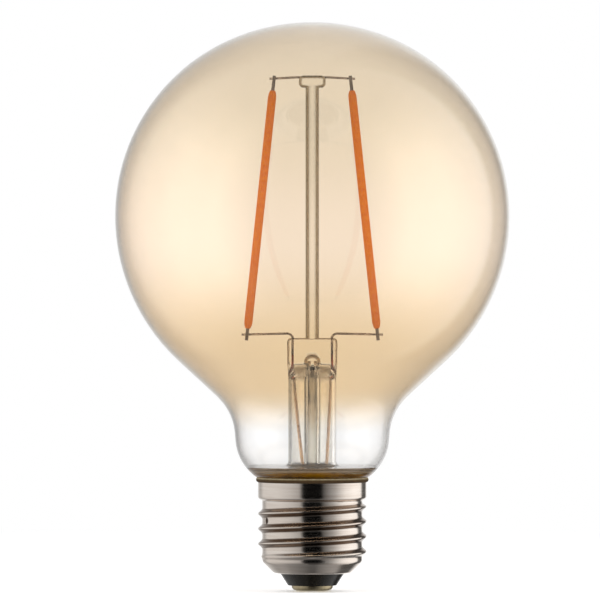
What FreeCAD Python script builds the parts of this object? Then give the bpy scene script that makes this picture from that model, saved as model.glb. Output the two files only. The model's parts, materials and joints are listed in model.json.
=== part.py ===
"""Globe bulb: a 95 mm amber glass globe with two long LED filaments on a glass stem, on an E27 screw cap.

Units are millimetres. The origin is at the bottom of the centre contact. +Z runs up the lamp's axis from
the cap to the crown of the globe. The filaments lie across X and are seen from -Y.
"""
import FreeCAD
import Part
import math
import os
from FreeCAD import Vector

# Screw cap, E27
crest_diameter = 26.1
thread_depth = 1.0
thread_pitch = 3.629
first_crest_height = 9.45
crest_sharpness = 2.5
thread_fade_low = 1.5
thread_fade_high = 1.3
sheet = 0.3
cap_height = 26.1
skirt_length = 3.4
shoulder_slope = 60.0
shoulder_convex_radius = 0.7
shoulder_concave_radius = 0.4
thread_bottom_height = 7.5
taper_upper_radius = 1.2
taper_lower_radius = 1.3
taper_bottom_height = 4.2
bottom_ring_width = 4.3
stake_diameter = 1.4
stake_depth = 0.2
stake_azimuth = 205.0
stake_turn = 1
thread_columns = 36
thread_column_overlap = 3
thread_rows_per_turn = 16

# Insulator, centre contact and its solder
insulator_drop = 0.9
insulator_nose_inset = 1.9
contact_height = 1.3
contact_inset = 0.85
contact_rim_radius = 1.2
contact_sheet = 0.45
eyelet_diameter = 3.0
eyelet_bore_diameter = 1.3
eyelet_rim_diameter = 3.6
eyelet_rim_height = 0.3
solder_diameter = 2.6
solder_dish_depth = 0.3
solder_rise = 1.6

# Glass envelope
globe_diameter = 95.0
crown_flattening = 0.8
crown_rise_share = 1.25
glass_wall = 0.55
neck_diameter = 37.2
neck_straight = 0.2
neck_slope = 47.4
neck_arc_radius = 13.0
neck_shoulder_radius = 11.5
neck_fillet_lift = 0.4
neck_fillet_radius = 1.5
neck_end_clearance = 0.45
neck_end_depth = 9.1

# Cement
cement_depth = 7.0
cement_clearance = 0.05
lip_height = 1.1
lip_bulge = 0.35

# Stem: tube with its bell, press, exhaust tube and centre rod
stem_diameter = 11.5
stem_wall = 0.8
bell_rise = 1.4
bell_fillet_radius = 1.2
press_spread = 0.5
press_thickness = 3.8
press_length = 10.4
press_blend_length = 4.6
press_top_radius = 0.9
press_squareness = 3.2
press_rounding_steps = (0, 0.5, 0.85, 0.98)
pinch_steps = 5
ring_points = 32
hollow_length = 3.8
hollow_inset = 0.3
hollow_top_thickness = 1.0
blow_hole_place = 4.9
blow_hole_width = 3.8
blow_hole_length = 2.8
blow_hole_depth = 1.7
blow_channel_overlap = 1.0
exhaust_diameter = 3.8
exhaust_bore = 2.1
exhaust_rise = 3.0
exhaust_tip_depth = 2.1
exhaust_tip_thickness = 1.2
rod_diameter = 3.2
rod_root_depth = 1.4
button_width = 6.4
button_height = 2.9
button_thickness = 3.4
button_radius = 1.1
button_drop = 2.5

# Wires of the stem
wire_diameter = 0.5
seal_wire_diameter = 0.46
copper_diameter = 0.7
lead_inset = 1.4
seal_top_depth = 4.0
seal_bottom_rise = 1.8
lead_rise = 1.1
lead_droop = 0.3
lead_bend_radius = 1.5
lead_overhang = 1.45
copper_bend_radius = 6.0
copper_azimuths = (205.6, 0.0)
copper_gap_shares = (0.213, 0.5)
bridge_rise = 3.2
bridge_droop = 0.35
bridge_margin = 0.7
bridge_overhang = 1.1
bridge_bend_radius = 8.0

# Filaments
filament_length_share = 0.6063
filament_width = 2.0
filament_thickness = 1.7
filament_taper_length = 1.8
filament_tip_width = 1.2
filament_tilt = 6.02
filament_spacing_share = 0.3274
filament_lift = 1.6
filament_foot_rise = 1.5
strip_width = 0.9
strip_thickness = 0.3
chip_count = 28
chip_length = 0.9
chip_width = 0.45
chip_thickness = 0.15
terminal_width = 0.8
terminal_thickness = 0.26
terminal_grip = 1.0
terminal_foot_length = 2.9
terminal_head_length = 3.6

# Driver in the cap
board_clearance = 2.25
board_thickness = 1.0
driver_room = 7.4
capacitor_diameter = 6.3
capacitor_length = 5.6
capacitor_place = (-4.9, 2.2)
capacitor_edge_radius = 0.5
capacitor_groove_depth = 0.25
capacitor_groove_rise = 1.2
rectifier_size = (4.7, 3.9, 2.4)
rectifier_place = (4.0, 3.7)
rectifier_legs = 2
rectifier_leg_pitch = 2.5
driver_chip_size = (4.9, 3.9, 1.5)
driver_chip_place = (4.0, -3.7)
driver_chip_legs = 4
driver_chip_leg_pitch = 1.27
package_lift = 0.2
package_edge = 0.15
leg_width = 0.45
leg_reach = 0.9
leg_rise = 0.45
resistor_diameter = 2.3
resistor_waist_diameter = 1.9
resistor_cap_length = 1.0
resistor_length = 4.6
resistor_gap = 0.8
lead_wire_diameter = 0.55
shell_lead_inset = 1.1
shell_lead_bend_radius = 0.8
shell_solder_diameter = 1.6
shell_solder_share = 0.4

tiny = 1e-6
seam_tolerance = 1e-4
axis = Vector(0, 0, 1)
origin = Vector(0, 0, 0)

crest_radius = crest_diameter / 2
root_radius = crest_radius - thread_depth
inner_root_radius = root_radius - sheet
bottom_hole_radius = root_radius - bottom_ring_width
insulator_top_height = thread_bottom_height - insulator_drop
insulator_nose_radius = bottom_hole_radius - insulator_nose_inset
contact_radius = insulator_nose_radius - contact_inset
globe_radius = globe_diameter / 2
neck_radius = neck_diameter / 2
neck_end_radius = inner_root_radius - neck_end_clearance
neck_end_height = cap_height - neck_end_depth
stem_radius = stem_diameter / 2
board_radius = inner_root_radius - board_clearance
board_bottom_height = insulator_top_height + driver_room
board_top_height = board_bottom_height + board_thickness
shell_solder_reach = inner_root_radius - shell_solder_share * shell_solder_diameter


def rz(radius, height):
    """Point of a turned outline."""
    return Vector(radius, 0, height)


def polar(centre, radius, angle):
    """Point of the XZ plane at a radius and an angle in degrees, 0 along +X and 90 along +Z."""
    turn = math.radians(angle)
    return centre + Vector(radius * math.cos(turn), 0, radius * math.sin(turn))


def arc(centre, radius, start, end):
    """Arc in the XZ plane."""
    ends = [polar(centre, radius, angle) for angle in (start, (start + end) / 2, end)]
    return Part.Arc(*ends).toShape()


def outline(items):
    """Closed wire through points and curved edges in turn, with straight lines between them."""
    here = items[0]
    edges = []
    for item in items[1:] + items[:1]:
        ends = [item, item]
        if not isinstance(item, Vector):
            ends = [item.valueAt(item.FirstParameter), item.valueAt(item.LastParameter)]
            ends.sort(key=here.distanceToPoint)
        if here.distanceToPoint(ends[0]) > tiny:
            edges.append(Part.LineSegment(here, ends[0]).toShape())
        if not isinstance(item, Vector):
            edges.append(item)
        here = ends[1]
    return Part.Wire(Part.__sortEdges__(edges))


def turned(items):
    """Solid of revolution of a closed outline about the lamp's axis."""
    return Part.Face(outline(items)).revolve(origin, axis, 360)


def bar(diameter, bottom, top, place=(0, 0)):
    """Upright round bar."""
    return Part.makeCylinder(diameter / 2, top - bottom, Vector(*place, bottom))


def block(size, centre):
    """Box by its size and its centre."""
    return Part.makeBox(*size, centre - Vector(*size) / 2)


def wire(points, diameter, bend):
    """Round wire along straight runs, joined by tangent arcs of one bend radius."""
    edges = []
    here = points[0]
    for corner, after in zip(points[1:-1], points[2:]):
        arriving = (corner - here).normalize()
        leaving = (after - corner).normalize()
        half_turn = arriving.getAngle(leaving) / 2
        setback = bend * math.tan(half_turn)
        inward = (leaving - arriving).normalize()
        middle = corner + inward * bend * (1 / math.cos(half_turn) - 1)
        start = corner - arriving * setback
        end = corner + leaving * setback
        edges.append(Part.LineSegment(here, start).toShape())
        edges.append(Part.Arc(start, middle, end).toShape())
        here = end
    edges.append(Part.LineSegment(here, points[-1]).toShape())
    section = Part.Wire(Part.Circle(points[0], points[1] - points[0], diameter / 2).toShape())
    return Part.Wire(edges).makePipeShell([section], True, True)


def ease(fraction):
    """Smooth step from 0 to 1."""
    held = min(max(fraction, 0.0), 1.0)
    return held * held * (3 - 2 * held)


def trough_height(azimuth, turn):
    """Height of the middle of the thread's trough at an azimuth in degrees, some whole turns up."""
    return first_crest_height + thread_pitch * (azimuth / 360 + turn + 0.5)


# Cap shell: a step in from the skirt, the thread, and a rounded cone below it
shoulder_turn = math.radians(shoulder_slope)
shoulder_radii = shoulder_convex_radius + shoulder_concave_radius
shoulder_run = crest_radius - root_radius - shoulder_radii * (1 - math.cos(shoulder_turn))
shoulder_fall = shoulder_radii * math.sin(shoulder_turn) + shoulder_run / math.tan(shoulder_turn)
skirt_bottom_height = cap_height - skirt_length
thread_top_height = skirt_bottom_height - shoulder_fall


def thread_radius(angle, height, inset):
    """Radius of the rolled thread: narrow rounded crests over a wide trough, fading out at both ends."""
    low = ease((height - thread_bottom_height) / thread_fade_low)
    high = ease((thread_top_height - height) / thread_fade_high)
    turns = (height - first_crest_height) / thread_pitch - angle / math.tau
    crest = ((1 + math.cos(math.tau * turns)) / 2) ** crest_sharpness
    return root_radius - inset + (crest_radius - root_radius) * crest * low * high


def thread_skin(inset):
    """One side of the rolled sheet: a right-hand screw surface from the taper to the shoulder."""
    around = thread_columns
    overlap = thread_column_overlap
    length = thread_top_height - thread_bottom_height
    rise = round(length / thread_pitch * thread_rows_per_turn)
    heights = [thread_bottom_height + length * row / rise for row in range(rise + 1)]
    grid = []
    for column in range(-overlap, around + overlap + 1):
        angle = math.tau * column / around
        side = Vector(math.cos(angle), math.sin(angle), 0)
        grid.append([side * thread_radius(angle, height, inset) + axis * height for height in heights])
    surface = Part.BSplineSurface()
    surface.interpolate(grid)
    knots = surface.getUKnots()
    surface.segment(knots[overlap], knots[-overlap - 1], 0, 1)
    return surface.toShape().Faces[0]


def thread_tube():
    """Threaded stretch of the sheet, closed by a flat ring at each end."""
    outer = thread_skin(0)
    inner = thread_skin(sheet)
    faces = [outer, inner.reversed()]
    for height, facing in ((thread_bottom_height, -1), (thread_top_height, 1)):
        rims = [edge for skin in (outer, inner) for edge in skin.Edges if edge.isClosed()]
        wires = [Part.Wire(edge) for edge in rims if abs(edge.Vertexes[0].Z - height) < sheet]
        ring = Part.Face(wires)
        if ring.normalAt(0, 0).z * facing < 0:
            ring.reverse()
        faces.append(ring)
    return Part.makeSolid(Part.makeShell(faces))


def shoulder_curve(inset):
    """Outline of the step from the skirt down to the thread's root, at a depth in the sheet."""
    convex_centre = rz(crest_radius - shoulder_convex_radius, skirt_bottom_height)
    concave_centre = rz(root_radius + shoulder_concave_radius, thread_top_height)
    return [
        arc(convex_centre, shoulder_convex_radius - inset, 0, -shoulder_slope),
        arc(concave_centre, shoulder_concave_radius + inset, 180 - shoulder_slope, 180),
    ]


def taper_curve(inset):
    """Outline of the rounded 45 degree cone below the thread, at a depth in the sheet, going down."""
    upper_centre = rz(root_radius - taper_upper_radius, thread_bottom_height)
    lower_height = taper_bottom_height + taper_lower_radius
    upper_end = polar(upper_centre, taper_upper_radius, -45)
    lower_end = polar(rz(0, lower_height), taper_lower_radius, -45)
    lower_centre = rz(upper_end.x - lower_end.x - upper_end.z + lower_end.z, lower_height)
    return [
        arc(upper_centre, taper_upper_radius - inset, 0, -45),
        arc(lower_centre, taper_lower_radius - inset, -45, -90),
    ]


def stake_mark():
    """Ball that presses the round stake mark into the thread's root."""
    half = stake_diameter / 2
    ball_radius = (half ** 2 + stake_depth ** 2) / (2 * stake_depth)
    ball = Part.makeSphere(ball_radius, rz(root_radius - stake_depth + ball_radius, 0))
    ball.rotate(origin, axis, stake_azimuth)
    return ball.translated(axis * trough_height(stake_azimuth, stake_turn))


def cap_shell():
    """Rolled nickel-plated sheet of one thickness: skirt, shoulder, screw thread and tapered bottom."""
    skirt = turned([
        rz(root_radius, thread_top_height),
        *shoulder_curve(0)[::-1],
        rz(crest_radius, cap_height),
        rz(crest_radius - sheet, cap_height),
        *shoulder_curve(sheet),
        rz(root_radius - sheet, thread_top_height),
    ])
    taper = turned([
        rz(root_radius, thread_bottom_height),
        *taper_curve(0),
        rz(bottom_hole_radius, taper_bottom_height),
        rz(bottom_hole_radius, taper_bottom_height + sheet),
        *taper_curve(sheet)[::-1],
        rz(root_radius - sheet, thread_bottom_height),
    ])
    shell = thread_tube().fuse([skirt, taper], seam_tolerance)
    return shell.cut(stake_mark())


def cap_insulator():
    """Black glass moulded into the bottom of the shell, with a conical nose and a hole for the eyelet."""
    cone_foot = taper_curve(sheet)[1]
    foot_end = cone_foot.valueAt(cone_foot.FirstParameter)
    edge_radius = foot_end.x + insulator_top_height - foot_end.z
    return turned([
        rz(eyelet_diameter / 2, contact_sheet),
        contact_rim(contact_sheet),
        rz(contact_radius - contact_sheet, contact_height),
        rz(insulator_nose_radius, contact_height),
        rz(bottom_hole_radius, taper_bottom_height),
        rz(bottom_hole_radius, taper_bottom_height + sheet),
        cone_foot,
        rz(edge_radius, insulator_top_height),
        rz(eyelet_diameter / 2, insulator_top_height),
    ])


def contact_rim(inset):
    """Rounded rim of the centre contact, at a depth in its sheet."""
    centre = rz(contact_radius - contact_rim_radius, contact_rim_radius)
    return arc(centre, contact_rim_radius - inset, -90, 0)


def centre_contact():
    """Stamped brass contact: a shallow cup with a dished middle and a hollow rivet above it."""
    bore = eyelet_bore_diameter / 2
    rivet_top_height = insulator_top_height + eyelet_rim_height
    return turned([
        rz(solder_diameter / 2, 0),
        contact_rim(0),
        rz(contact_radius, contact_height),
        rz(contact_radius - contact_sheet, contact_height),
        contact_rim(contact_sheet),
        rz(eyelet_diameter / 2, contact_sheet),
        rz(eyelet_diameter / 2, insulator_top_height),
        rz(eyelet_rim_diameter / 2, insulator_top_height),
        rz(eyelet_rim_diameter / 2, rivet_top_height),
        rz(bore, rivet_top_height),
        rz(bore, solder_dish_depth),
    ])


def contact_solder():
    """Solder that fills the dish of the contact and the foot of its bore, round the resistor's lead."""
    bore = eyelet_bore_diameter / 2
    drop = turned([
        origin,
        rz(solder_diameter / 2, 0),
        rz(bore, solder_dish_depth),
        rz(bore, solder_rise),
        rz(0, solder_rise),
    ])
    return drop.cut(fusible_resistor())


# Glass envelope: the neck's shoulder turns in below, and a small fillet leads on to its straight end
fillet_run = neck_end_radius + neck_fillet_radius - neck_radius + neck_shoulder_radius
fillet_turn = math.acos(fillet_run / (neck_shoulder_radius + neck_fillet_radius))
fillet_angle = math.degrees(fillet_turn)
shoulder_height = cap_height + neck_fillet_lift + neck_shoulder_radius * math.sin(fillet_turn)
shoulder_centre = rz(neck_radius - neck_shoulder_radius, shoulder_height)
fillet_centre = polar(shoulder_centre, neck_shoulder_radius + neck_fillet_radius, -fillet_angle)
neck_arc_height = shoulder_centre.z + neck_straight
neck_arc_centre = rz(neck_radius + neck_arc_radius, neck_arc_height)
neck_arc_end = polar(neck_arc_centre, neck_arc_radius, 180 - neck_slope)
cone_foot_radius = polar(origin, globe_radius, -neck_slope).x
cone_rise = (cone_foot_radius - neck_arc_end.x) / math.tan(math.radians(neck_slope))
globe_height = neck_arc_end.z + cone_rise + globe_radius * math.sin(math.radians(neck_slope))
globe_centre = rz(0, globe_height)

# Crown: a slightly tighter arc rises from the widest line, and a flatter one closes the top
crown_height = globe_radius - crown_flattening
rise_offset = crown_rise_share * crown_flattening
rise_radius = globe_radius - rise_offset
crown_gain = rise_offset ** 2 + crown_height ** 2 - rise_radius ** 2
crown_radius = crown_gain / (2 * (crown_height - rise_radius))
rise_centre = rz(rise_offset, globe_height)
crown_centre = rz(0, globe_height + crown_height - crown_radius)
crown_angle = math.degrees(math.atan2(rise_centre.z - crown_centre.z, rise_offset))


def neck_curve(inset, start=0.0):
    """Lower neck at a depth in the glass, from an angle on the shoulder down to the straight end."""
    return [
        arc(shoulder_centre, neck_shoulder_radius - inset, start, -fillet_angle),
        arc(fillet_centre, neck_fillet_radius + inset, 180 - fillet_angle, 180),
    ]


def globe_curve(inset):
    """Globe and upper neck at a depth in the glass, from the crown down to the shoulder of the neck."""
    return [
        arc(crown_centre, crown_radius - inset, 90, crown_angle),
        arc(rise_centre, rise_radius - inset, crown_angle, 0),
        arc(globe_centre, globe_radius - inset, 0, -neck_slope),
        arc(neck_arc_centre, neck_arc_radius + inset, 180 - neck_slope, 180),
        *neck_curve(inset),
    ]


def glass_envelope():
    """Blown glass globe with a flattened crown, a drawn-in neck and a straight end inside the cap."""
    crown_top = globe_height + crown_height
    return turned([
        rz(0, crown_top),
        *globe_curve(0),
        rz(neck_end_radius, neck_end_height),
        rz(neck_end_radius - glass_wall, neck_end_height),
        *globe_curve(glass_wall)[::-1],
        rz(0, crown_top - glass_wall),
    ])


def capping_cement():
    """Cement between the neck and the shell, pressed out over the shell's rim as a rounded lip."""
    lip_foot = rz(crest_radius - cement_clearance, cap_height)
    lip_drop = cap_height + lip_height - shoulder_centre.z
    lip_angle = math.degrees(math.asin(lip_drop / neck_shoulder_radius))
    lip_top = polar(shoulder_centre, neck_shoulder_radius, lip_angle)
    across = lip_top - lip_foot
    lip_middle = (lip_foot + lip_top) / 2 + Vector(across.z, 0, -across.x).normalize() * lip_bulge
    bottom_height = cap_height - cement_depth
    outer_radius = inner_root_radius - cement_clearance
    return turned([
        rz(neck_end_radius, bottom_height),
        rz(outer_radius, bottom_height),
        rz(outer_radius, thread_top_height),
        *shoulder_curve(sheet)[::-1],
        rz(crest_radius - sheet, cap_height),
        Part.Arc(lip_foot, lip_middle, lip_top).toShape(),
        *neck_curve(0, lip_angle),
    ])


# Mount in the globe: the filaments are centred in it, and the press and the leads follow from their feet
filament_length = filament_length_share * globe_diameter
filament_slope = math.tan(math.radians(filament_tilt))
filament_rise = filament_length * math.cos(math.radians(filament_tilt))
filament_foot_height = globe_height + filament_lift - filament_rise / 2
filament_foot_reach = filament_spacing_share * globe_radius
filament_plane = -(wire_diameter + terminal_thickness) / 2
lead_end_height = filament_foot_height - filament_foot_rise
lead_height = lead_end_height + lead_droop
lead_reach = filament_foot_reach + lead_overhang
bridge_height = filament_foot_height + filament_rise + bridge_rise
bridge_end_height = bridge_height - bridge_droop
bridge_straight = button_width / 2 + bridge_margin
bridge_lean = (bridge_end_height - filament_foot_height) * filament_slope
bridge_reach = filament_foot_reach - bridge_lean + bridge_overhang
button_bottom_height = bridge_height - button_drop

# Press, and what it holds
press_width = stem_diameter + press_spread
press_top_height = lead_height - lead_rise
press_bottom_height = press_top_height - press_length
press_flat_height = press_bottom_height + press_blend_length
hollow_top_height = press_bottom_height + hollow_length
lead_place = press_width / 2 - lead_inset
hollow_top_reach = lead_place - hollow_inset
blow_hole_height = press_bottom_height + blow_hole_place
exhaust_top_height = press_bottom_height + exhaust_rise
exhaust_tip_height = cap_height - exhaust_tip_depth
seal_top_height = press_top_height - seal_top_depth
seal_bottom_height = press_bottom_height + seal_bottom_rise

# Bell: its flat top meets the neck's glass a little above the fillet of the neck
bell_inset = glass_wall + stem_wall
bell_foot = polar(shoulder_centre, neck_shoulder_radius - bell_inset, -fillet_angle)
bell_height = bell_foot.z + bell_rise + stem_wall
stem_fillet_centre = rz(stem_radius + bell_fillet_radius, bell_height + bell_fillet_radius)


def bell_curve(depth):
    """Bell from the stem tube over its flat top and down inside the neck, at a depth in its glass."""
    drop = shoulder_centre.z - bell_height + depth
    reach = neck_shoulder_radius - glass_wall - depth
    meeting_angle = math.degrees(math.asin(drop / reach))
    return [
        arc(stem_fillet_centre, bell_fillet_radius + depth, 180, 270),
        polar(shoulder_centre, reach, -meeting_angle),
        *neck_curve(glass_wall + depth, -meeting_angle),
    ]


def oval(half_width, half_depth, squareness, height):
    """Smooth closed ring between an ellipse (squareness 2) and a rounded rectangle."""
    points = []
    for index in range(ring_points):
        turn = math.tau * index / ring_points
        power = 2 / squareness
        across = math.copysign(abs(math.cos(turn)) ** power, math.cos(turn))
        deep = math.copysign(abs(math.sin(turn)) ** power, math.sin(turn))
        points.append(Vector(half_width * across, half_depth * deep, height))
    ring = Part.BSplineCurve()
    ring.interpolate(points, PeriodicFlag=True)
    return Part.Wire(ring.toShape())


def round_ring(radius, height):
    """Circle about the axis."""
    return Part.Wire(Part.Circle(rz(0, height), axis, radius).toShape())


def press_ring(height):
    """Outline of the press: the round tube is squeezed flat, and its top edge is rounded."""
    blend = ease((height - press_bottom_height) / (press_flat_height - press_bottom_height))
    width = stem_radius + (press_width / 2 - stem_radius) * blend
    depth = stem_radius + (press_thickness / 2 - stem_radius) * blend
    over = max(height - press_top_height + press_top_radius, 0) / press_top_radius
    drawn_in = press_top_radius * (1 - math.sqrt(1 - min(over, 1) ** 2))
    return oval(width - drawn_in, depth - drawn_in, 2 + (press_squareness - 2) * blend, height)


def press():
    """Flat seal at the top of the stem tube, hollow below, with a blow hole in its face."""
    blend_rise = press_flat_height - press_bottom_height
    flat_end_height = press_top_height - press_top_radius
    pinches = [step / pinch_steps for step in range(1, pinch_steps + 1)]
    heights = [press_bottom_height + blend_rise * share for share in pinches]
    heights += [(press_flat_height + flat_end_height) / 2]
    heights += [flat_end_height + press_top_radius * step for step in press_rounding_steps]
    rings = [round_ring(stem_radius, press_bottom_height)] + [press_ring(height) for height in heights]
    outside = Part.makeLoft(rings, True, False)
    inner_radius = stem_radius - stem_wall
    hollow_rings = [round_ring(inner_radius, press_bottom_height)]
    for share in pinches:
        blend = ease(share)
        width = inner_radius + (hollow_top_reach - inner_radius) * blend
        depth = inner_radius + (hollow_top_thickness / 2 - inner_radius) * blend
        height = press_bottom_height + (hollow_top_height - press_bottom_height) * share
        hollow_rings.append(oval(width, depth, 2, height))
    hollow = Part.makeLoft(hollow_rings, True, False)
    return outside.cut(hollow)


def blow_hole():
    """Hollow blown from the face of the press down into the bore of the exhaust tube."""
    scale = FreeCAD.Matrix()
    scale.scale(blow_hole_width / 2, blow_hole_depth, blow_hole_length / 2)
    pit = Part.makeSphere(1).transformGeometry(scale)
    pit.translate(Vector(0, -press_thickness / 2, blow_hole_height))
    return pit.fuse(bar(exhaust_bore, exhaust_top_height - blow_channel_overlap, blow_hole_height))


def stem_flare():
    """Stem glass in one piece: the bell fused inside the neck, the tube and the press round the wires."""
    tube = turned([
        rz(stem_radius - stem_wall, press_bottom_height),
        rz(stem_radius, press_bottom_height),
        *bell_curve(0),
        rz(neck_end_radius - glass_wall, neck_end_height),
        rz(neck_end_radius - bell_inset, neck_end_height),
        *bell_curve(stem_wall)[::-1],
    ])
    held = [inner_lead(side) for side in (-1, 1)]
    held += [seal_wire(side) for side in (-1, 1)]
    held += [outer_lead(side) for side in (-1, 1)]
    held += [centre_rod_bar(), bar(exhaust_diameter, press_bottom_height, exhaust_top_height), blow_hole()]
    return tube.fuse(press(), seam_tolerance).cut(held)


def exhaust_tube():
    """Thin tube through which the lamp was filled, melted shut at its lower end."""
    outer = exhaust_diameter / 2
    inner = exhaust_bore / 2
    return turned([
        rz(inner, exhaust_top_height),
        rz(outer, exhaust_top_height),
        arc(rz(0, exhaust_tip_height + outer), outer, 0, -90),
        arc(rz(0, exhaust_tip_height + exhaust_tip_thickness + inner), inner, -90, 0),
    ])


def centre_rod_bar():
    """Solid glass rod, rooted in the top of the press."""
    return bar(rod_diameter, press_top_height - rod_root_depth, button_bottom_height + button_radius)


def centre_rod():
    """Rod with its end squeezed into a button round the bridge wire."""
    size = (button_width, button_thickness, button_height)
    button = block(size, rz(0, button_bottom_height + button_height / 2))
    button = button.makeFillet(button_radius, button.Edges)
    return centre_rod_bar().fuse(button).cut(bridge_wire())


def bridge_wire():
    """One wire through the button, which joins the heads of the two filaments."""
    return wire([
        rz(-bridge_reach, bridge_end_height),
        rz(-bridge_straight, bridge_height),
        rz(bridge_straight, bridge_height),
        rz(bridge_reach, bridge_end_height),
    ], wire_diameter, bridge_bend_radius)


def inner_lead(side):
    """Nickel wire from the press out to the foot of a filament."""
    return wire([
        rz(side * lead_reach, lead_end_height),
        rz(side * lead_place, lead_height),
        rz(side * lead_place, seal_top_height),
    ], wire_diameter, lead_bend_radius)


def seal_wire(side):
    """Copper-clad wire that seals in the glass of the press."""
    return bar(seal_wire_diameter, seal_bottom_height, seal_top_height, (side * lead_place, 0))


def outer_lead(side):
    """Copper wire from the press down through the bell to the board."""
    choice = 0 if side < 0 else 1
    inner = exhaust_diameter / 2
    reach = inner + copper_gap_shares[choice] * (stem_radius - stem_wall - inner)
    place = Vector(reach, 0, 0)
    foot_line = FreeCAD.Rotation(axis, copper_azimuths[choice]).multVec(place)
    return wire([
        rz(side * lead_place, seal_bottom_height),
        foot_line + axis * bell_height,
        foot_line + axis * board_bottom_height,
    ], copper_diameter, copper_bend_radius)


def in_place(shape, side):
    """Leans an upright filament piece inwards and stands it on its foot, left or right."""
    leaning = shape.rotated(origin, Vector(0, 1, 0), -side * filament_tilt)
    place = Vector(side * filament_foot_reach, filament_plane, filament_foot_height)
    return leaning.translated(place)


def flat_bar(width, thickness, bottom, top):
    """Upright flat bar on the axis of a filament."""
    return block((width, thickness, top - bottom), rz(0, (bottom + top) / 2))


def strip():
    """Narrow plate that carries the chips."""
    return flat_bar(strip_width, strip_thickness, terminal_grip, filament_length - terminal_grip)


def chips():
    """Row of light-emitting chips along the strip."""
    pitch = (filament_length - 2 * terminal_grip) / chip_count
    front = -(strip_thickness + chip_thickness) / 2
    size = (chip_width, chip_thickness, chip_length)
    heights = [terminal_grip + pitch * (index + 0.5) for index in range(chip_count)]
    return Part.makeCompound([block(size, Vector(0, front, height)) for height in heights])


def foot():
    """Terminal at the lower end of a filament."""
    return flat_bar(terminal_width, terminal_thickness, -terminal_foot_length, terminal_grip)


def head():
    """Terminal at the upper end of a filament."""
    top = filament_length + terminal_head_length
    return flat_bar(terminal_width, terminal_thickness, filament_length - terminal_grip, top)


def coating():
    """Orange silicone round the strip, oval in section and drawn in at both ends."""
    half = filament_width / 2
    tip = filament_tip_width / 2
    drawn_in = half - tip
    radius = (drawn_in ** 2 + filament_taper_length ** 2) / (2 * drawn_in)
    turn = math.degrees(math.asin(filament_taper_length / radius))
    low = rz(half - radius, filament_taper_length)
    high = rz(half - radius, filament_length - filament_taper_length)
    body = turned([
        origin,
        arc(low, radius, -turn, 0),
        arc(high, radius, 0, turn),
        rz(0, filament_length),
    ])
    flatten = FreeCAD.Matrix()
    flatten.scale(1, filament_thickness / filament_width, 1)
    return body.transformGeometry(flatten).cut([strip(), *chips().Solids, foot(), head()])


def insulating_compound():
    """Brown compound cast in the bell round the exhaust tube and the copper wires, down to the board."""
    body = turned([
        rz(0, board_top_height),
        rz(neck_end_radius - bell_inset, board_top_height),
        *bell_curve(stem_wall)[:0:-1],
        rz(0, bell_height - stem_wall),
    ])
    exhaust = bar(exhaust_diameter, exhaust_tip_height + exhaust_diameter / 2, bell_height)
    tip = Part.makeSphere(exhaust_diameter / 2, rz(0, exhaust_tip_height + exhaust_diameter / 2))
    return body.cut([exhaust, tip, outer_lead(-1), outer_lead(1)])


def driver_board():
    """Round board of brown laminate, drilled for the wires."""
    board = bar(2 * board_radius, board_bottom_height, board_top_height)
    return board.cut([outer_lead(-1), outer_lead(1), fusible_resistor(), shell_lead()])


def smoothing_capacitor():
    """Aluminium can with a rolled groove and rounded ends, hanging below the board."""
    radius = capacitor_diameter / 2
    edge = capacitor_edge_radius
    groove = capacitor_groove_depth
    groove_height = board_bottom_height - capacitor_groove_rise
    end_height = board_bottom_height - capacitor_length
    can = turned([
        rz(0, board_bottom_height),
        arc(rz(radius - edge, board_bottom_height - edge), edge, 90, 0),
        rz(radius, groove_height + groove),
        rz(radius - groove, groove_height),
        rz(radius, groove_height - groove),
        arc(rz(radius - edge, end_height + edge), edge, 0, -90),
        rz(0, end_height),
    ])
    return can.translated(Vector(*capacitor_place, 0))


def package(size, place, legs, leg_pitch):
    """Moulded component below the board, with a row of legs along each long side."""
    body_top_height = board_bottom_height - package_lift
    body = block(size, Vector(*place, body_top_height - size[2] / 2))
    body = body.makeFillet(package_edge, body.Edges)
    leg_size = (leg_width, size[1] + 2 * leg_reach, leg_rise)
    for index in range(legs):
        across = place[0] + (index - (legs - 1) / 2) * leg_pitch
        leg = block(leg_size, Vector(across, place[1], board_bottom_height - leg_rise / 2))
        body = body.fuse(leg)
    return body


def fusible_resistor():
    """Resistor on the axis between the board and the centre contact, with its two wire leads."""
    top_height = board_bottom_height - resistor_gap
    end_height = top_height - resistor_length
    lead = lead_wire_diameter / 2
    outer = resistor_diameter / 2
    waist = resistor_waist_diameter / 2
    return turned([
        rz(0, board_top_height),
        rz(lead, board_top_height),
        rz(lead, top_height),
        rz(outer, top_height),
        rz(outer, top_height - resistor_cap_length),
        rz(waist, top_height - resistor_cap_length),
        rz(waist, end_height + resistor_cap_length),
        rz(outer, end_height + resistor_cap_length),
        rz(outer, end_height),
        rz(lead, end_height),
        rz(lead, solder_dish_depth),
        rz(0, solder_dish_depth),
    ])


def shell_lead():
    """Wire from the board out to the inside of the shell."""
    height = trough_height(90, 0)
    place = board_radius - shell_lead_inset
    return wire([
        Vector(0, place, board_top_height),
        Vector(0, place, height),
        Vector(0, shell_solder_reach, height),
    ], lead_wire_diameter, shell_lead_bend_radius)


def shell_solder(shell):
    """Drop of solder that joins the wire to the inside of the shell."""
    centre = Vector(0, shell_solder_reach, trough_height(90, 0))
    return Part.makeSphere(shell_solder_diameter / 2, centre).cut([shell, shell_lead()])


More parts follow.
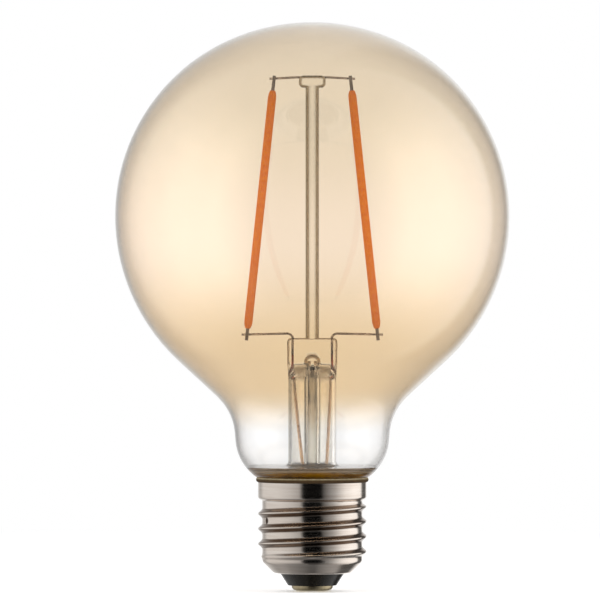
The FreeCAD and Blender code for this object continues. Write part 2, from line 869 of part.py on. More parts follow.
shell = cap_shell()
parts = {
    "glass_envelope": glass_envelope(),
    "stem_flare": stem_flare(),
    "exhaust_tube": exhaust_tube(),
    "centre_rod": centre_rod(),
    "bridge_wire": bridge_wire(),
    "cap_shell": shell,
    "cap_insulator": cap_insulator(),
    "centre_contact": centre_contact(),
    "contact_solder": contact_solder(),
    "capping_cement": capping_cement(),
    "insulating_compound": insulating_compound(),
    "driver_board": driver_board(),
    "smoothing_capacitor": smoothing_capacitor(),
    "bridge_rectifier": package(rectifier_size, rectifier_place, rectifier_legs, rectifier_leg_pitch),
    "driver_chip": package(driver_chip_size, driver_chip_place, driver_chip_legs, driver_chip_leg_pitch),
    "fusible_resistor": fusible_resistor(),
    "shell_lead": shell_lead(),
    "shell_solder": shell_solder(shell),
}
for word, side in (("left", -1), ("right", 1)):
    parts["inner_lead_" + word] = inner_lead(side)
    parts["seal_wire_" + word] = seal_wire(side)
    parts["outer_lead_" + word] = outer_lead(side)
    parts["filament_coating_" + word] = in_place(coating(), side)
    parts["filament_strip_" + word] = in_place(strip(), side)
    parts["filament_chips_" + word] = in_place(chips(), side)
    parts["filament_foot_" + word] = in_place(foot(), side)
    parts["filament_head_" + word] = in_place(head(), side)

os.makedirs("parts", exist_ok=True)
for name, shape in parts.items():
    shape.exportStep("parts/" + name + ".step")
    print(name, len(shape.Solids), shape.isValid())
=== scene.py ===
"""Looks of the amber globe bulb: blown and lacquered glass, drawn stem glass, two silicone-coated LED
filaments and a nickel-plated screw cap, in a white studio. Lengths are written in millimetres."""
import bmesh
import bpy
import json
import math
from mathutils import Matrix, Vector


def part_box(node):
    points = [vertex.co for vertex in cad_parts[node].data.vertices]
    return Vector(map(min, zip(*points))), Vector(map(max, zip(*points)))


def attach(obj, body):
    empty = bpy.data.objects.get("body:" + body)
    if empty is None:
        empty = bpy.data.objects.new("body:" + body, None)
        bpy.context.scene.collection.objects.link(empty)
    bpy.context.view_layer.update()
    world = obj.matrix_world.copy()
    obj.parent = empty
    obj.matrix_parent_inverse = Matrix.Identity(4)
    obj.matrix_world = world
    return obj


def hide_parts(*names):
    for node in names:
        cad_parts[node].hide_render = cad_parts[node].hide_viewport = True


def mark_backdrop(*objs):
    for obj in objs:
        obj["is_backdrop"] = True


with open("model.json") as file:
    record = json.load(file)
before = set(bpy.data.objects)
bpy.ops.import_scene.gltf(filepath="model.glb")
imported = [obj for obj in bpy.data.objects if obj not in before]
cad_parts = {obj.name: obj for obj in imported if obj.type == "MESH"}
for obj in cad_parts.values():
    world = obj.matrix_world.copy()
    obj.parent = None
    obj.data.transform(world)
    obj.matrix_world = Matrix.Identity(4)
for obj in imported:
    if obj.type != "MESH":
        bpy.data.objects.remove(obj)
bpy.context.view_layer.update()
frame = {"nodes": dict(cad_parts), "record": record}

mm = 0.001

# Camera: the photo is 600 pixels square, and the lamp's axis and base are at these pixels in it
frame_pixels = 600
pixels_per_mm = 4.152
axis_pixel = 312.3
base_pixel = 590.5
camera_distance = 1500
camera_reach = 20000
sensor_width = 36

# Lacquer: full amber above, wiped clear at the neck
amber_crown_height = 116
amber_thin_height = 84
amber_thick_height = 56
amber_full_height = 49.5
amber_end_height = 37.5

# Edge of the globe and neck: how sharply the glass is painted darker towards its outline, and how much.
# This is painted shade, at the amber partly the longer path through the lacquer
rim_sharpness = 2.6
neck_rim_shade = 0.95
amber_rim_tint_and_shade = 0.65

# Stem glass: the heights between which the tube is pinched into the press, and the share of the painted
# brown edge shade that shows where light leaves the glass again
press_heights = (51, 55)
leaving_share = 0.4

# Filament: distance between the chips along it, how much paler it is over them, the size of the phosphor's
# clumps and their height
chip_pitch = 1.98
chip_paleness = 0.05
phosphor_clump = 0.7
phosphor_relief = 0.02

# Fine patterns: the values of the noise at the pattern's low and high spots
low_spot = 0.3
high_spot = 0.7

# A wire or resin that glass is melted round is drawn this much fuller, so that no gap shows. Its mesh's
# doubled points are welded first
wetting = 0.03
weld_distance = 0.0001

# Blown glass: its outline from the crown down to the neck's straight end, as arcs with the radius and
# height of their centre, their radius, and their first and last angle in degrees. Above a height the soft
# glass has flowed, so that the arcs go smoothly into each other
glass_wall = 0.55
glass_arcs = (
    (0, 87.76, 49.1, 90, 67.38), (1, 90.17, 46.5, 67.38, 0), (0, 90.17, 47.5, 0, -47.4),
    (31.6, 37.04, 13, 132.6, 180), (7.1, 36.84, 11.5, 0, -63.99), (12.8, 25.15, 1.5, 116.01, 180),
)
glass_end = (11.3, 17.0)
arc_steps = 100
glass_step = 0.9
glass_flow_height = 28
glass_flow_passes = 4
glass_segments = 128
smooth_angle = 35

# A turned point this near the axis is on it
on_axis = 0.001

# Exhaust tube: bore, thickness of the glass at its melted tip, and degrees between the points of its rounds
exhaust_bore = 2.1
exhaust_tip = 1.2
round_step = 10

# Stake mark in the cap, from the axis, how far its painted shade reaches, and the share of it that is fully
# dark
stake_spot = (-10.92, -5.09, 16.96)
stake_shade_reach = 0.95
stake_core = 0.6

# Cement lip: painted shade darkens it towards the rim, chalky at its top
lip_foot_height = 26.7
lip_crest_height = 27.4

# Thread: the heights between which its steep flanks are painted darker as shade, over what height that
# starts, and how steep a flank is, as the height of its normal
thread_zone = (8.6, 21.5)
thread_fade = 1
flank_slopes = (0.3, 0.6)

# Resin in the bell: how far its colour is drawn up into the bell's glass top, and where a painted grey
# sheen of the glass edge covers it
resin_creep = 0.7
resin_edge_sheen_heights = (29.0, 29.5)

# Studio as the metal and glass reflect it: levels by azimuth, in degrees from the camera towards the right,
# and the share of them by elevation
studio_walls = (
    (-180, 1.0), (-162, 0.6), (-146, 0.4), (-128, 0.7), (-80, 0.7), (-50, 0.58), (-28, 0.42), (-21, 0.0),
    (20, 0.0), (25, 0.1), (50, 0.4), (76, 0.95), (100, 1.15), (125, 1.1), (133, 0.1), (154, 0.1),
    (166, 1.0),
)
wall_shares = (
    (-90, 0.0), (-80, 0.1), (-60, 0.28), (-36, 0.75), (-16, 1.0), (22, 1.0), (50, 0.42), (70, 0.2),
    (90, 0.0),
)
ceiling_level = 0.08

# Studio as it is seen through glass: white all round and darker high above the set. What the glass mirrors
# inside is white, with a bright panel at each side
seen_shares = ((-90, 1.0), (30, 1.0), (60, 0.0), (90, 0.0))
high_level = 0.15
panel_walls = (
    (-180, 1.0), (-162, 0.6), (-142, 0.3), (-116, 1.5), (-88, 2.7), (-60, 2.7), (-34, 1.0), (34, 1.0),
    (60, 2.7), (88, 2.7), (120, 2.0), (145, 1.3), (160, 1.0), (180, 1.0),
)
panel_shares = ((-90, 0.0), (-60, 0.0), (-30, 1.0), (30, 1.0), (60, 0.0), (90, 0.0))
lit_level = 1.1

# Soft boxes: azimuth from the camera towards the right and elevation in degrees, distance from the middle
# of the globe, width and height, and brightness
soft_boxes = {
    "left_soft_box": (-70, 25, 1200, 1500, 1400, 1.1),
    "right_soft_box": (75, 25, 1200, 1300, 1400, 1.4),
}
globe_middle = 70

# Floor: half its width, how far under the lamp it lies, its glow near the lamp, and where it fades to white
floor_half = 4000
floor_drop = 0.2
floor_glow = 0.15
floor_near = 60
floor_far = 400

# How often a ray may pass through the glass or be mirrored in it
glass_bounces = 32


def srgb(code):
    """Linear colour of an sRGB hex value."""
    shares = [int(code[place:place + 2], 16) / 255 for place in (0, 2, 4)]
    return [c / 12.92 if c <= 0.04045 else ((c + 0.055) / 1.055) ** 2.4 for c in shares] + [1]


def add(tree, kind, inputs=None, stops=(), **settings):
    """Adds a node, sets its options and sockets, and links each input that is given another node's output.
    A colour ramp also takes its stops, as places and colours."""
    node = tree.nodes.new(kind)
    for name, value in settings.items():
        setattr(node, name, value)
    for socket, value in (inputs or {}).items():
        if isinstance(value, bpy.types.NodeSocket):
            tree.links.new(value, node.inputs[socket])
        else:
            node.inputs[socket].default_value = value
    for place, (position, colour) in enumerate(stops):
        if place > 1:
            node.color_ramp.elements.new(1)
        node.color_ramp.elements[place].position = position
        node.color_ramp.elements[place].color = colour
    return node


def finish(name):
    """New material with a bare Principled shader: its node tree and the shader."""
    material = bpy.data.materials.new(name)
    material.use_nodes = True
    return material, material.node_tree, material.node_tree.nodes["Principled BSDF"]


def settle(shader, values):
    """Sets constant sockets of a shader."""
    for socket, value in values.items():
        shader.inputs[socket].default_value = value


def height_share(tree, first, last, way="SMOOTHSTEP"):
    """Share that goes from 0 at the first height to 1 at the last."""
    place = add(tree, "ShaderNodeTexCoord").outputs["Object"]
    height = add(tree, "ShaderNodeSeparateXYZ", {0: place}).outputs["Z"]
    share = add(tree, "ShaderNodeMapRange", {
        "Value": height, "From Min": first * mm, "From Max": last * mm,
    }, interpolation_type=way)
    return share.outputs["Result"]


def lacquered_globe_glass():
    """Soda-lime glass, blown in a turning mould and dipped in amber lacquer that is wiped off the neck.
    The colour is painted darker where the glass is seen at a slant: painted shade at the outline, at the
    amber partly the longer path through the lacquer."""
    material, tree, shader = finish("lacquered_globe_glass")
    lacquer = height_share(tree, amber_end_height, amber_full_height)
    drained = height_share(tree, amber_thick_height, amber_thin_height)
    crown = height_share(tree, amber_thin_height, amber_crown_height)
    body = add(tree, "ShaderNodeMix", {
        "Factor": drained, 6: srgb("f6e6cd"), 7: srgb("fdf2e4"),
    }, data_type="RGBA").outputs[2]
    amber = add(tree, "ShaderNodeMix", {
        "Factor": crown, 6: body, 7: srgb("f5ebdb"),
    }, data_type="RGBA").outputs[2]
    tint = add(tree, "ShaderNodeMix", {
        "Factor": lacquer, 6: srgb("f8f8f8"), 7: amber,
    }, data_type="RGBA").outputs[2]
    facing = add(tree, "ShaderNodeLayerWeight", {"Blend": 0.5}).outputs["Facing"]
    slant = add(tree, "ShaderNodeMath", {0: facing, 1: rim_sharpness}, operation="POWER").outputs[0]
    depth = add(tree, "ShaderNodeMix", {
        "Factor": lacquer, 2: neck_rim_shade, 3: amber_rim_tint_and_shade,
    }).outputs[0]
    share = add(tree, "ShaderNodeMath", {0: slant, 1: depth}, operation="MULTIPLY").outputs[0]
    # Painted shade: the colour darkens towards the outline, at the amber partly the longer path through the
    # lacquer
    rim = add(tree, "ShaderNodeMix", {"Factor": share, 6: tint, 7: srgb("988c82")}, data_type="RGBA")
    tree.links.new(rim.outputs[2], shader.inputs["Base Color"])
    settle(shader, {"Transmission Weight": 1, "IOR": 1.5, "Roughness": 0.0})
    return material


def drawn_glass(name, slants, edge, tube_share):
    """Lead-free glass, drawn and fire-polished: clear, with a brown painted shade where it is seen at a
    slant, which stands in for the dark and amber surroundings that the glass bends into its edges. The
    slants are where the painted shade starts and is full. Below the press the tube's wall is thin and has a
    share of the painted shade."""
    material, tree, shader = finish(name)
    facing = add(tree, "ShaderNodeLayerWeight", {"Blend": 0.5}).outputs["Facing"]
    slant = add(tree, "ShaderNodeMapRange", {
        "Value": facing, "From Min": slants[0], "From Max": slants[1],
    }, interpolation_type="SMOOTHSTEP").outputs["Result"]
    leaving = add(tree, "ShaderNodeNewGeometry").outputs["Backfacing"]
    side = add(tree, "ShaderNodeMix", {"Factor": leaving, 2: 1.0, 3: leaving_share}).outputs[0]
    pressed = height_share(tree, *press_heights, way="LINEAR")
    thickness = add(tree, "ShaderNodeMix", {"Factor": pressed, 2: tube_share, 3: 1.0}).outputs[0]
    depth = add(tree, "ShaderNodeMath", {0: side, 1: thickness}, operation="MULTIPLY").outputs[0]
    share = add(tree, "ShaderNodeMath", {0: slant, 1: depth}, operation="MULTIPLY").outputs[0]
    # Painted shade: brown at a slant stands in for what the glass bends into its edges
    rim = add(tree, "ShaderNodeMix", {"Factor": share, 6: srgb("f9f7f2"), 7: srgb(edge)}, data_type="RGBA")
    tree.links.new(rim.outputs[2], shader.inputs["Base Color"])
    settle(shader, {"Transmission Weight": 1, "IOR": 1.5, "Roughness": 0.0})
    return material


def grained(name, dark, light, grain, dull, relief, values):
    """Finish whose colour, gloss and height follow one fine pattern. The grain is its size along X, Y and Z
    and the relief its height, both in millimetres. The dull values are the roughness of its low and its
    high spots."""
    material, tree, shader = finish(name)
    place = add(tree, "ShaderNodeTexCoord").outputs["Object"]
    spread = [1 / (size * mm) for size in grain]
    scaled = add(tree, "ShaderNodeVectorMath", {0: place, 1: spread}, operation="MULTIPLY").outputs[0]
    height = add(tree, "ShaderNodeTexNoise", {"Vector": scaled, "Scale": 1, "Detail": 3}).outputs["Fac"]
    colour = add(tree, "ShaderNodeValToRGB", {"Fac": height}, [
        (low_spot, srgb(dark)), (high_spot, srgb(light)),
    ])
    tree.links.new(colour.outputs["Color"], shader.inputs["Base Color"])
    gloss = add(tree, "ShaderNodeMapRange", {
        "Value": height, "From Min": low_spot, "From Max": high_spot, "To Min": dull[0], "To Max": dull[1],
    })
    tree.links.new(gloss.outputs["Result"], shader.inputs["Roughness"])
    bump = add(tree, "ShaderNodeBump", {"Height": height, "Distance": relief * mm})
    tree.links.new(bump.outputs["Normal"], shader.inputs["Normal"])
    settle(shader, values)
    return material


def phosphor_silicone():
    """Silicone full of orange phosphor, squeezed over the chips and cured: matt, faintly granular, and a
    little paler over each chip."""
    material, tree, shader = finish("phosphor_silicone")
    place = add(tree, "ShaderNodeTexCoord").outputs["Object"]
    height = add(tree, "ShaderNodeSeparateXYZ", {0: place}).outputs["Z"]
    turns = add(tree, "ShaderNodeMath", {0: height, 1: math.tau / (chip_pitch * mm)}, operation="MULTIPLY")
    wave = add(tree, "ShaderNodeMath", {0: turns.outputs[0]}, operation="SINE").outputs[0]
    scaled = add(tree, "ShaderNodeVectorMath", {
        0: place, "Scale": 1 / (phosphor_clump * mm),
    }, operation="SCALE").outputs[0]
    clumps = add(tree, "ShaderNodeTexNoise", {"Vector": scaled, "Scale": 1, "Detail": 4}).outputs["Fac"]
    mixed = add(tree, "ShaderNodeMath", {0: wave, 1: chip_paleness, 2: clumps}, operation="MULTIPLY_ADD")
    colour = add(tree, "ShaderNodeValToRGB", {"Fac": mixed.outputs[0]}, [
        (0.2, srgb("f27800")), (0.8, srgb("ff980e")),
    ])
    tree.links.new(colour.outputs["Color"], shader.inputs["Base Color"])
    bump = add(tree, "ShaderNodeBump", {"Height": clumps, "Distance": phosphor_relief * mm})
    tree.links.new(bump.outputs["Normal"], shader.inputs["Normal"])
    settle(shader, {"Roughness": 0.55, "Specular IOR Level": 0.1})
    return material


# Fine patterns are drawn a few times coarser than the real ones, which are too small for the render to show
finishes = {
    "amber_glass": lacquered_globe_glass(),
    "clear_glass": drawn_glass("drawn_stem_glass", slants=(0.05, 0.3), edge="5e4830", tube_share=0.32),
    "phosphor": phosphor_silicone(),
    # Brass sheet, rolled to the thread and nickel-plated: mirror-like, warm, with faint lines round it
    "nickel_plate": grained("rolled_nickel_plate", "e6d8cc", "f6ece2", (14, 14, 0.6), (0.12, 0.18), 0.004,
                            {"Metallic": 1}),
    # Glass pressed hot in the cap: glossy black, slightly wavy where it chilled on the tool
    "black_glass": grained("pressed_black_glass", "0b0905", "17130b", (2.5, 2.5, 2.5), (0.12, 0.3), 0.05,
                           {"IOR": 1.52}),
    # Brass plate, stamped and tinned: soft grey shine with fine scratches
    "brass": grained("stamped_tinned_brass", "b0a080", "c8ba98", (0.6, 6, 6), (0.3, 0.42), 0.004,
                     {"Metallic": 1}),
    # Tin solder, set in the air: bright drop with a frosty skin
    "solder": grained("frosty_tin_solder", "9c9c9c", "cfcfd2", (0.5, 0.5, 0.5), (0.2, 0.5), 0.03,
                      {"Metallic": 1}),
    # Marble powder bound with resin and baked: chalky, cream, gritty where it was pressed out
    "cement": grained("baked_cap_cement", "a0906c", "ccbe9c", (0.7, 0.7, 0.7), (0.7, 0.9), 0.06,
                      {"Specular IOR Level": 0.3}),
    # Resin cast into the bell: dark honey brown with lighter clouds, without shine, as it wets the glass
    "compound": grained("cast_honey_resin", "7c5200", "aa7614", (5, 5, 3), (0.3, 0.5), 0.08,
                        {"Specular IOR Level": 0}),
    # Paper laminate, sawn and drilled: tan, dry, with short fibres
    "laminate": grained("sawn_paper_laminate", "9a6c38", "b88a54", (1.5, 0.4, 0.4), (0.5, 0.7), 0.02, {}),
    # Aluminium can, deep-drawn: bright, with fine lines along its wall
    "aluminium_can": grained("drawn_aluminium", "a6a8aa", "cdced0", (0.4, 0.4, 6), (0.25, 0.4), 0.01,
                             {"Metallic": 1}),
    # Epoxy packages, moulded in a spark-eroded tool: even dull black
    "moulded_black": grained("moulded_epoxy", "161618", "262629", (0.3, 0.3, 0.3), (0.45, 0.65), 0.02, {}),
    # Resistor body, dipped in lacquer: grey-green, thick and slightly uneven
    "resistor_body": grained("dipped_lacquer", "7c9a84", "98b49c", (1, 1, 1), (0.3, 0.45), 0.04, {}),
    # Nickel-iron wire, drawn and heated when the lamp was sealed: grey-brown, with dull spots
    "lead_wire": grained("drawn_nickel_iron", "6e625a", "a2968c", (0.6, 0.6, 0.6), (0.2, 0.45), 0.01,
                         {"Metallic": 1}),
    # Copper-clad wire sealed in glass: its oxide gives the brick red of a sound seal
    "seal_wire": grained("oxidised_copper_clad", "74301e", "a44c30", (0.6, 0.6, 1.2), (0.3, 0.5), 0.01,
                         {"Metallic": 1}),
    # Copper wire, drawn and left bare: warm shine, tarnished in patches
    "copper": grained("tarnished_copper", "98703c", "cc9c60", (0.8, 0.8, 2.5), (0.2, 0.4), 0.01,
                      {"Metallic": 1}),
    # Alumina strip, fired and scribed: dense, matt, off-white
    "strip": grained("fired_alumina", "dcdcd6", "f0f0ea", (0.3, 0.3, 0.3), (0.5, 0.7), 0.01, {}),
    # Sapphire chips, diced: small glassy blocks, blue-grey from the layers grown on them
    "chip": grained("diced_sapphire", "8496b4", "b4c4dc", (0.4, 0.4, 0.4), (0.08, 0.2), 0.002,
                    {"IOR": 1.77}),
    # Steel terminals, stamped and nickel-plated thinly: dark grey, scuffed along their length
    "terminal": grained("stamped_plated_steel", "564e48", "8c827a", (0.3, 0.3, 3), (0.3, 0.5), 0.015,
                        {"Metallic": 1}),
}
rod_glass = drawn_glass("drawn_rod_glass", slants=(0.0, 0.16), edge="54442a", tube_share=1.0)


def tint_where(slot, share, colour, way):
    """Mixes or multiplies a colour into a finish where the share is full."""
    tree = finishes[slot].node_tree
    shader = tree.nodes["Principled BSDF"]
    plain = shader.inputs["Base Color"].links[0].from_socket
    tinted = add(tree, "ShaderNodeMix", {
        "Factor": share, 6: plain, 7: srgb(colour),
    }, data_type="RGBA", blend_type=way)
    tree.links.new(tinted.outputs[2], shader.inputs["Base Color"])


def paint_stake_shade():
    """Painted shade: dark spot in the stake's dent, where its steep wall lies in shadow."""
    tree = finishes["nickel_plate"].node_tree
    place = add(tree, "ShaderNodeTexCoord").outputs["Object"]
    spot = [length * mm for length in stake_spot]
    away = add(tree, "ShaderNodeVectorMath", {0: place, 1: spot}, operation="DISTANCE").outputs["Value"]
    share = add(tree, "ShaderNodeMapRange", {
        "Value": away, "From Min": stake_shade_reach * mm, "From Max": stake_core * stake_shade_reach * mm,
    }, interpolation_type="SMOOTHSTEP")
    # Painted shade in the stake's dent
    tint_where("nickel_plate", share.outputs["Result"], "4c4036", "MULTIPLY")


def paint_flank_shade():
    """Painted shade: the thread's steep flanks darkened by the slope of their normal, where they mirror the
    dark floor and ceiling.
    """
    tree = finishes["nickel_plate"].node_tree
    low, high = thread_zone
    above = height_share(tree, low, low + thread_fade)
    below = height_share(tree, high, high - thread_fade)
    inside = add(tree, "ShaderNodeMath", {0: above, 1: below}, operation="MULTIPLY").outputs[0]
    facing = add(tree, "ShaderNodeNewGeometry").outputs["Normal"]
    lean = add(tree, "ShaderNodeSeparateXYZ", {0: facing}).outputs["Z"]
    steep = add(tree, "ShaderNodeMath", {0: lean}, operation="ABSOLUTE").outputs[0]
    flank = add(tree, "ShaderNodeMapRange", {
        "Value": steep, "From Min": flank_slopes[0], "From Max": flank_slopes[1],
    }, interpolation_type="SMOOTHSTEP").outputs["Result"]
    share = add(tree, "ShaderNodeMath", {0: flank, 1: inside}, operation="MULTIPLY")
    # Painted shade on the steep flanks
    tint_where("nickel_plate", share.outputs[0], "9c9086", "MULTIPLY")


def paint_shade_and_sheen_by_height():
    """Painted shade on the lip of cement, darker towards the rim, and a painted grey sheen at the top of
    the bell's resin, where the bell's glass edge is seen edge-on.
    """
    lip_shade = height_share(finishes["cement"].node_tree, lip_crest_height, lip_foot_height)
    # Painted shade: the lip darker towards the rim
    tint_where("cement", lip_shade, "5a482e", "MULTIPLY")
    glass_edge_sheen = height_share(finishes["compound"].node_tree, *resin_edge_sheen_heights)
    # Painted sheen: the bell's glass edge seen edge-on, painted grey over the resin's top
    tint_where("compound", glass_edge_sheen, "bca488", "MIX")


paint_stake_shade()
paint_flank_shade()
paint_shade_and_sheen_by_height()
for piece in frame["record"]["subparts"]:
    node = frame["nodes"][piece["node"]]
    node.material_slots[0].material = finishes[piece["material_slot"]]
frame["nodes"]["centre_rod"].material_slots[0].material = rod_glass


def placed(name, data):
    """New object in the scene."""
    piece = bpy.data.objects.new(name, data)
    bpy.context.scene.collection.objects.link(piece)
    return piece


def keep(piece, slot, *nodes):
    """Sets a new piece in the lamp for the solids that it shows."""
    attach(piece, "root")
    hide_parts(*nodes)
    return piece


def fuller(name, node):
    """Free copy of a solid's mesh, grown by the wetting all round."""
    piece = placed(name, frame["nodes"][node].data.copy())
    shape = bmesh.new()
    shape.from_mesh(piece.data)
    bmesh.ops.remove_doubles(shape, verts=shape.verts, dist=weld_distance * mm)
    shape.normal_update()
    for point in shape.verts:
        point.co += point.normal * wetting * mm
    shape.to_mesh(piece.data)
    piece.data.shade_smooth()
    return piece


def glass_outline():
    """Points along the blown glass from the crown down, evenly spaced, with the arcs flowing into each
    other as soft glass does."""
    corners = []
    for across, up, radius, first, last in glass_arcs:
        for place in range(arc_steps + 1):
            turn = math.radians(first + (last - first) * place / arc_steps)
            corners.append(Vector((across + radius * math.cos(turn), up + radius * math.sin(turn))))
    corners.append(Vector(glass_end))
    points = [corners[0]]
    for corner in corners[1:]:
        while (corner - points[-1]).length > glass_step:
            points.append(points[-1] + (corner - points[-1]).normalized() * glass_step)
    points.append(corners[-1])
    points[0].x = 0
    for _ in range(glass_flow_passes):
        calm = list(points)
        for place in range(1, len(points) - 1):
            if points[place].y > glass_flow_height:
                calm[place] = (points[place - 1] + points[place] * 2 + points[place + 1]) / 4
        points = calm
    return points


def turned(name, outline, material):
    """Closed form turned round the lamp's axis from points by radius and height, the ends on the axis."""
    points, faces, starts = [], [], []
    for across, up in outline:
        starts.append(len(points))
        for place in range(glass_segments if across > on_axis else 1):
            turn = math.tau * place / glass_segments
            points.append((across * math.cos(turn) * mm, across * math.sin(turn) * mm, up * mm))
    for ring, (first, second) in enumerate(zip(starts, starts[1:])):
        for place in range(glass_segments):
            after = (place + 1) % glass_segments
            if outline[ring][0] <= on_axis:
                faces.append((first, second + place, second + after))
            elif outline[ring + 1][0] <= on_axis:
                faces.append((first + place, second, first + after))
            else:
                faces.append((first + place, second + place, second + after, first + after))
    mesh = bpy.data.meshes.new(name)
    mesh.from_pydata(points, [], faces)
    mesh.materials.append(material)
    return placed(name, mesh)


def blown_glass():
    """Globe and neck turned from their outline, with the glass's wall inside it."""
    outer = glass_outline()
    inner = []
    for place, point in enumerate(outer):
        along = outer[min(place + 1, len(outer) - 1)] - outer[max(place - 1, 0)]
        inner.append(point + Vector((along.y, -along.x)).normalized() * glass_wall)
    inner[0] = outer[0] - Vector((0, glass_wall))
    inner[-1] = outer[-1] - Vector((glass_wall, 0))
    return turned("blown_glass", outer + inner[::-1], finishes["amber_glass"])


def pumping_tube():
    """Exhaust tube with its tip melted shut, turned finely so that its walls show no facets."""
    low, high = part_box("exhaust_tube")
    top, bottom = high[2] / mm + wetting, low[2] / mm - wetting
    outer, inner = high[0] / mm + wetting, exhaust_bore / 2 - wetting
    turns = [math.radians(turn) for turn in range(0, 90, round_step)]
    quarter = [(math.cos(turn), math.sin(turn)) for turn in turns] + [(0, 1)]
    bore = [(inner * across, bottom + exhaust_tip + inner * (1 - drop)) for across, drop in quarter[::-1]]
    wall = [(outer * across, bottom + outer * (1 - drop)) for across, drop in quarter]
    return turned("pumping_tube", bore + [(inner, top), (outer, top)] + wall, finishes["clear_glass"])


def melted_glass():
    """Globe, flare, exhaust tube and rod melted together, with no seams inside, and shown as one piece each
    for the blown glass, the stem glass and the rod."""
    blown = blown_glass()
    joined = [fuller("joined_" + node, node) for node in ("stem_flare", "centre_rod")] + [pumping_tube()]
    for other in joined:
        joint = blown.modifiers.new(other.name, "BOOLEAN")
        joint.operation = "UNION"
        joint.material_mode = "TRANSFER"
        joint.object = other
    baked = bpy.data.meshes.new_from_object(blown.evaluated_get(bpy.context.evaluated_depsgraph_get()))
    for other in joined + [blown]:
        bpy.data.objects.remove(other)
    baked.shade_smooth()
    baked.set_sharp_from_angle(angle=math.radians(smooth_angle))
    glasses = [material.name for material in baked.materials]
    for name, slot, material, nodes in (
        ("blown_globe_glass", "amber_glass", finishes["amber_glass"], ["glass_envelope"]),
        ("melted_stem_glass", "clear_glass", finishes["clear_glass"], ["stem_flare", "exhaust_tube"]),
        ("melted_rod_glass", "clear_glass", rod_glass, ["centre_rod"]),
    ):
        mesh = baked.copy()
        shape = bmesh.new()
        shape.from_mesh(mesh)
        others = [face for face in shape.faces if glasses[face.material_index] != material.name]
        bmesh.ops.delete(shape, geom=others, context="FACES")
        shape.to_mesh(mesh)
        mesh.materials.clear()
        mesh.materials.append(material)
        for face in mesh.polygons:
            face.material_index = 0
        keep(placed(name, mesh), slot, *nodes)


def wetted(node, slot):
    """Solid that the glass round it wets, so that it is drawn a hair fuller."""
    return keep(fuller("wetted_" + node, node), slot, node)


def bell_resin():
    """Resin whose colour the bell's glass top carries up."""
    resin = wetted("insulating_compound", "compound")
    top = max(point.co.z for point in resin.data.vertices) - wetting * 2 * mm
    for point in resin.data.vertices:
        if point.co.z > top:
            point.co.z += resin_creep * mm


melted_glass()
bell_resin()
wetted("bridge_wire", "lead_wire")
for side in ("left", "right"):
    wetted("inner_lead_" + side, "lead_wire")
    wetted("seal_wire_" + side, "seal_wire")
    wetted("outer_lead_" + side, "copper")


def soft_box(name, azimuth, elevation, distance, width, height, brightness):
    """Large soft lamp aimed at the globe. It isn't seen in the metal or through the glass, where it would
    show as a hard rectangle."""
    lamp = bpy.data.lights.new(name, "AREA")
    lamp.shape = "RECTANGLE"
    lamp.size, lamp.size_y = width * mm, height * mm
    lamp.energy = brightness * math.pi * lamp.size * lamp.size_y
    piece = placed(name, lamp)
    turn, rise = math.radians(azimuth), math.radians(elevation)
    aim = Vector((math.sin(turn) * math.cos(rise), -math.cos(turn) * math.cos(rise), math.sin(rise)))
    piece.location = aim * distance * mm + Vector((0, 0, globe_middle * mm))
    piece.rotation_euler = aim.to_track_quat("Z", "Y").to_euler()
    piece.visible_glossy = False
    piece.visible_transmission = False


def level_by_angle(tree, angle, levels, span):
    """Brightness that follows an angle in radians through levels at places in degrees, which run over a
    span."""
    first = levels[0][0]
    share = add(tree, "ShaderNodeMapRange", {
        "Value": angle, "From Min": math.radians(first), "From Max": math.radians(first + span),
    }).outputs["Result"]
    stops = [((place - first) / span, (level, level, level, 1)) for place, level in levels]
    return add(tree, "ShaderNodeValToRGB", {"Fac": share}, stops).outputs["Color"]


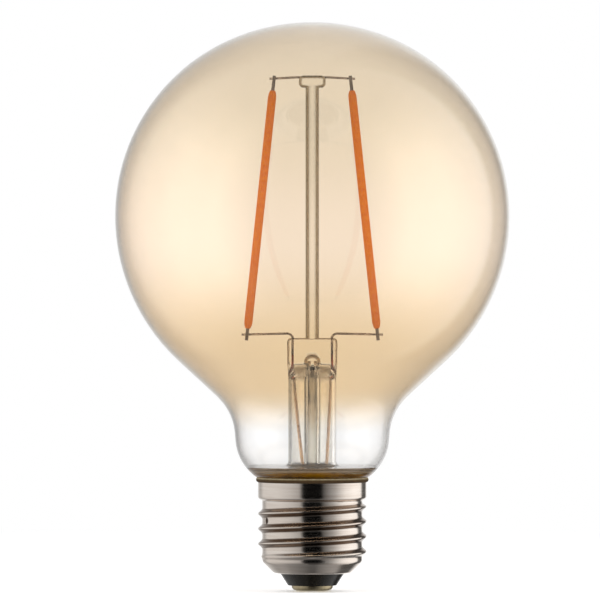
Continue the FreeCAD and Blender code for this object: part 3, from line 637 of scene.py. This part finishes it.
def white_studio():
    """White for what is seen directly or through glass, bright panels for what the glass mirrors inside,
    walls with a dark gap in front for what is mirrored outside, and a plain level for lit surfaces."""
    world = bpy.data.worlds.new("white_studio")
    world.use_nodes = True
    bpy.context.scene.world = world
    tree = world.node_tree
    path = add(tree, "ShaderNodeLightPath")
    way = add(tree, "ShaderNodeTexCoord").outputs["Generated"]
    parts = add(tree, "ShaderNodeSeparateXYZ", {0: way})
    ahead = add(tree, "ShaderNodeMath", {0: parts.outputs["Y"], 1: -1.0}, operation="MULTIPLY").outputs[0]
    azimuth = add(tree, "ShaderNodeMath", {0: parts.outputs["X"], 1: ahead}, operation="ARCTAN2").outputs[0]
    elevation = add(tree, "ShaderNodeMath", {0: parts.outputs["Z"]}, operation="ARCSINE").outputs[0]
    walls = level_by_angle(tree, azimuth, studio_walls, 360)
    wall_share = level_by_angle(tree, elevation, wall_shares, 180)
    studio = add(tree, "ShaderNodeMix", {"Factor": wall_share, 2: ceiling_level, 3: walls}).outputs[0]
    clear = level_by_angle(tree, elevation, seen_shares, 180)
    plain = add(tree, "ShaderNodeMix", {"Factor": clear, 2: high_level, 3: 1.0}).outputs[0]
    panels = level_by_angle(tree, azimuth, panel_walls, 360)
    panel_share = level_by_angle(tree, elevation, panel_shares, 180)
    panelled = add(tree, "ShaderNodeMix", {"Factor": panel_share, 2: 1.0, 3: panels}).outputs[0]
    inside = add(tree, "ShaderNodeMath", {
        0: path.outputs["Glossy Depth"], 1: 0.5,
    }, operation="GREATER_THAN").outputs[0]
    through = add(tree, "ShaderNodeMix", {"Factor": inside, 2: plain, 3: panelled}).outputs[0]
    seen = add(tree, "ShaderNodeMix", {
        "Factor": path.outputs["Is Camera Ray"], 2: through, 3: 1.0,
    }).outputs[0]
    # A ray that leaves clear glass counts as glossy too, and the studio is only for what is mirrored
    outside = add(tree, "ShaderNodeMath", {
        0: path.outputs["Is Glossy Ray"], 1: path.outputs["Is Transmission Ray"],
    }, operation="SUBTRACT", use_clamp=True).outputs[0]
    mirrored = add(tree, "ShaderNodeMix", {"Factor": outside, 2: seen, 3: studio}).outputs[0]
    lit = add(tree, "ShaderNodeMath", {
        0: path.outputs["Diffuse Depth"], 1: 0.5,
    }, operation="GREATER_THAN").outputs[0]
    level = add(tree, "ShaderNodeMix", {"Factor": lit, 2: mirrored, 3: lit_level}).outputs[0]
    tree.links.new(level, tree.nodes["Background"].inputs["Strength"])
    tree.nodes["Background"].inputs["Color"].default_value = (1, 1, 1, 1)


def floor():
    """Pale floor that reads white where it is lit and keeps the lamp's shadow."""
    mesh = bpy.data.meshes.new("floor")
    half = floor_half * mm
    corners = [(-half, -half, 0), (half, -half, 0), (half, half, 0), (-half, half, 0)]
    mesh.from_pydata(corners, [], [(0, 1, 2, 3)])
    piece = placed("floor", mesh)
    piece.location.z = -floor_drop * mm
    piece.visible_glossy = False
    piece.visible_transmission = False
    material, tree, shader = finish("white_floor")
    settle(shader, {"Base Color": srgb("f0f0f0"), "Roughness": 1, "Specular IOR Level": 0})
    settle(shader, {"Emission Color": (1, 1, 1, 1)})
    path = add(tree, "ShaderNodeLightPath")
    seen = add(tree, "ShaderNodeMath", {
        0: path.outputs["Diffuse Depth"], 1: 0.5,
    }, operation="LESS_THAN").outputs[0]
    glow = add(tree, "ShaderNodeMath", {0: seen, 1: floor_glow}, operation="MULTIPLY").outputs[0]
    tree.links.new(glow, shader.inputs["Emission Strength"])
    far = add(tree, "ShaderNodeEmission", {"Strength": seen})
    place = add(tree, "ShaderNodeTexCoord").outputs["Object"]
    reach = add(tree, "ShaderNodeVectorMath", {0: place}, operation="LENGTH").outputs["Value"]
    fade = add(tree, "ShaderNodeMapRange", {
        "Value": reach, "From Min": floor_near * mm, "From Max": floor_far * mm,
    }, interpolation_type="SMOOTHSTEP").outputs["Result"]
    blend = add(tree, "ShaderNodeMixShader", {0: fade, 1: shader.outputs[0], 2: far.outputs[0]})
    tree.links.new(blend.outputs[0], tree.nodes["Material Output"].inputs["Surface"])
    mesh.materials.append(material)
    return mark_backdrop(piece)


def camera():
    """Long level lens that frames the lamp as the photo does."""
    eye = placed("camera", bpy.data.cameras.new("camera"))
    across = (frame_pixels / 2 - axis_pixel) / pixels_per_mm
    up = (base_pixel - frame_pixels / 2) / pixels_per_mm
    eye.location = Vector((across, -camera_distance, up)) * mm
    eye.rotation_euler = (math.pi / 2, 0, 0)
    eye.data.sensor_width = sensor_width
    eye.data.lens = sensor_width * camera_distance * pixels_per_mm / frame_pixels
    eye.data.clip_end = camera_reach * mm
    bpy.context.scene.camera = eye


white_studio()
floor()
for name, values in soft_boxes.items():
    soft_box(name, *values)
camera()
bpy.context.scene.view_settings.view_transform = "Standard"
bpy.context.scene.cycles.max_bounces = glass_bounces
bpy.context.scene.cycles.transmission_bounces = glass_bounces
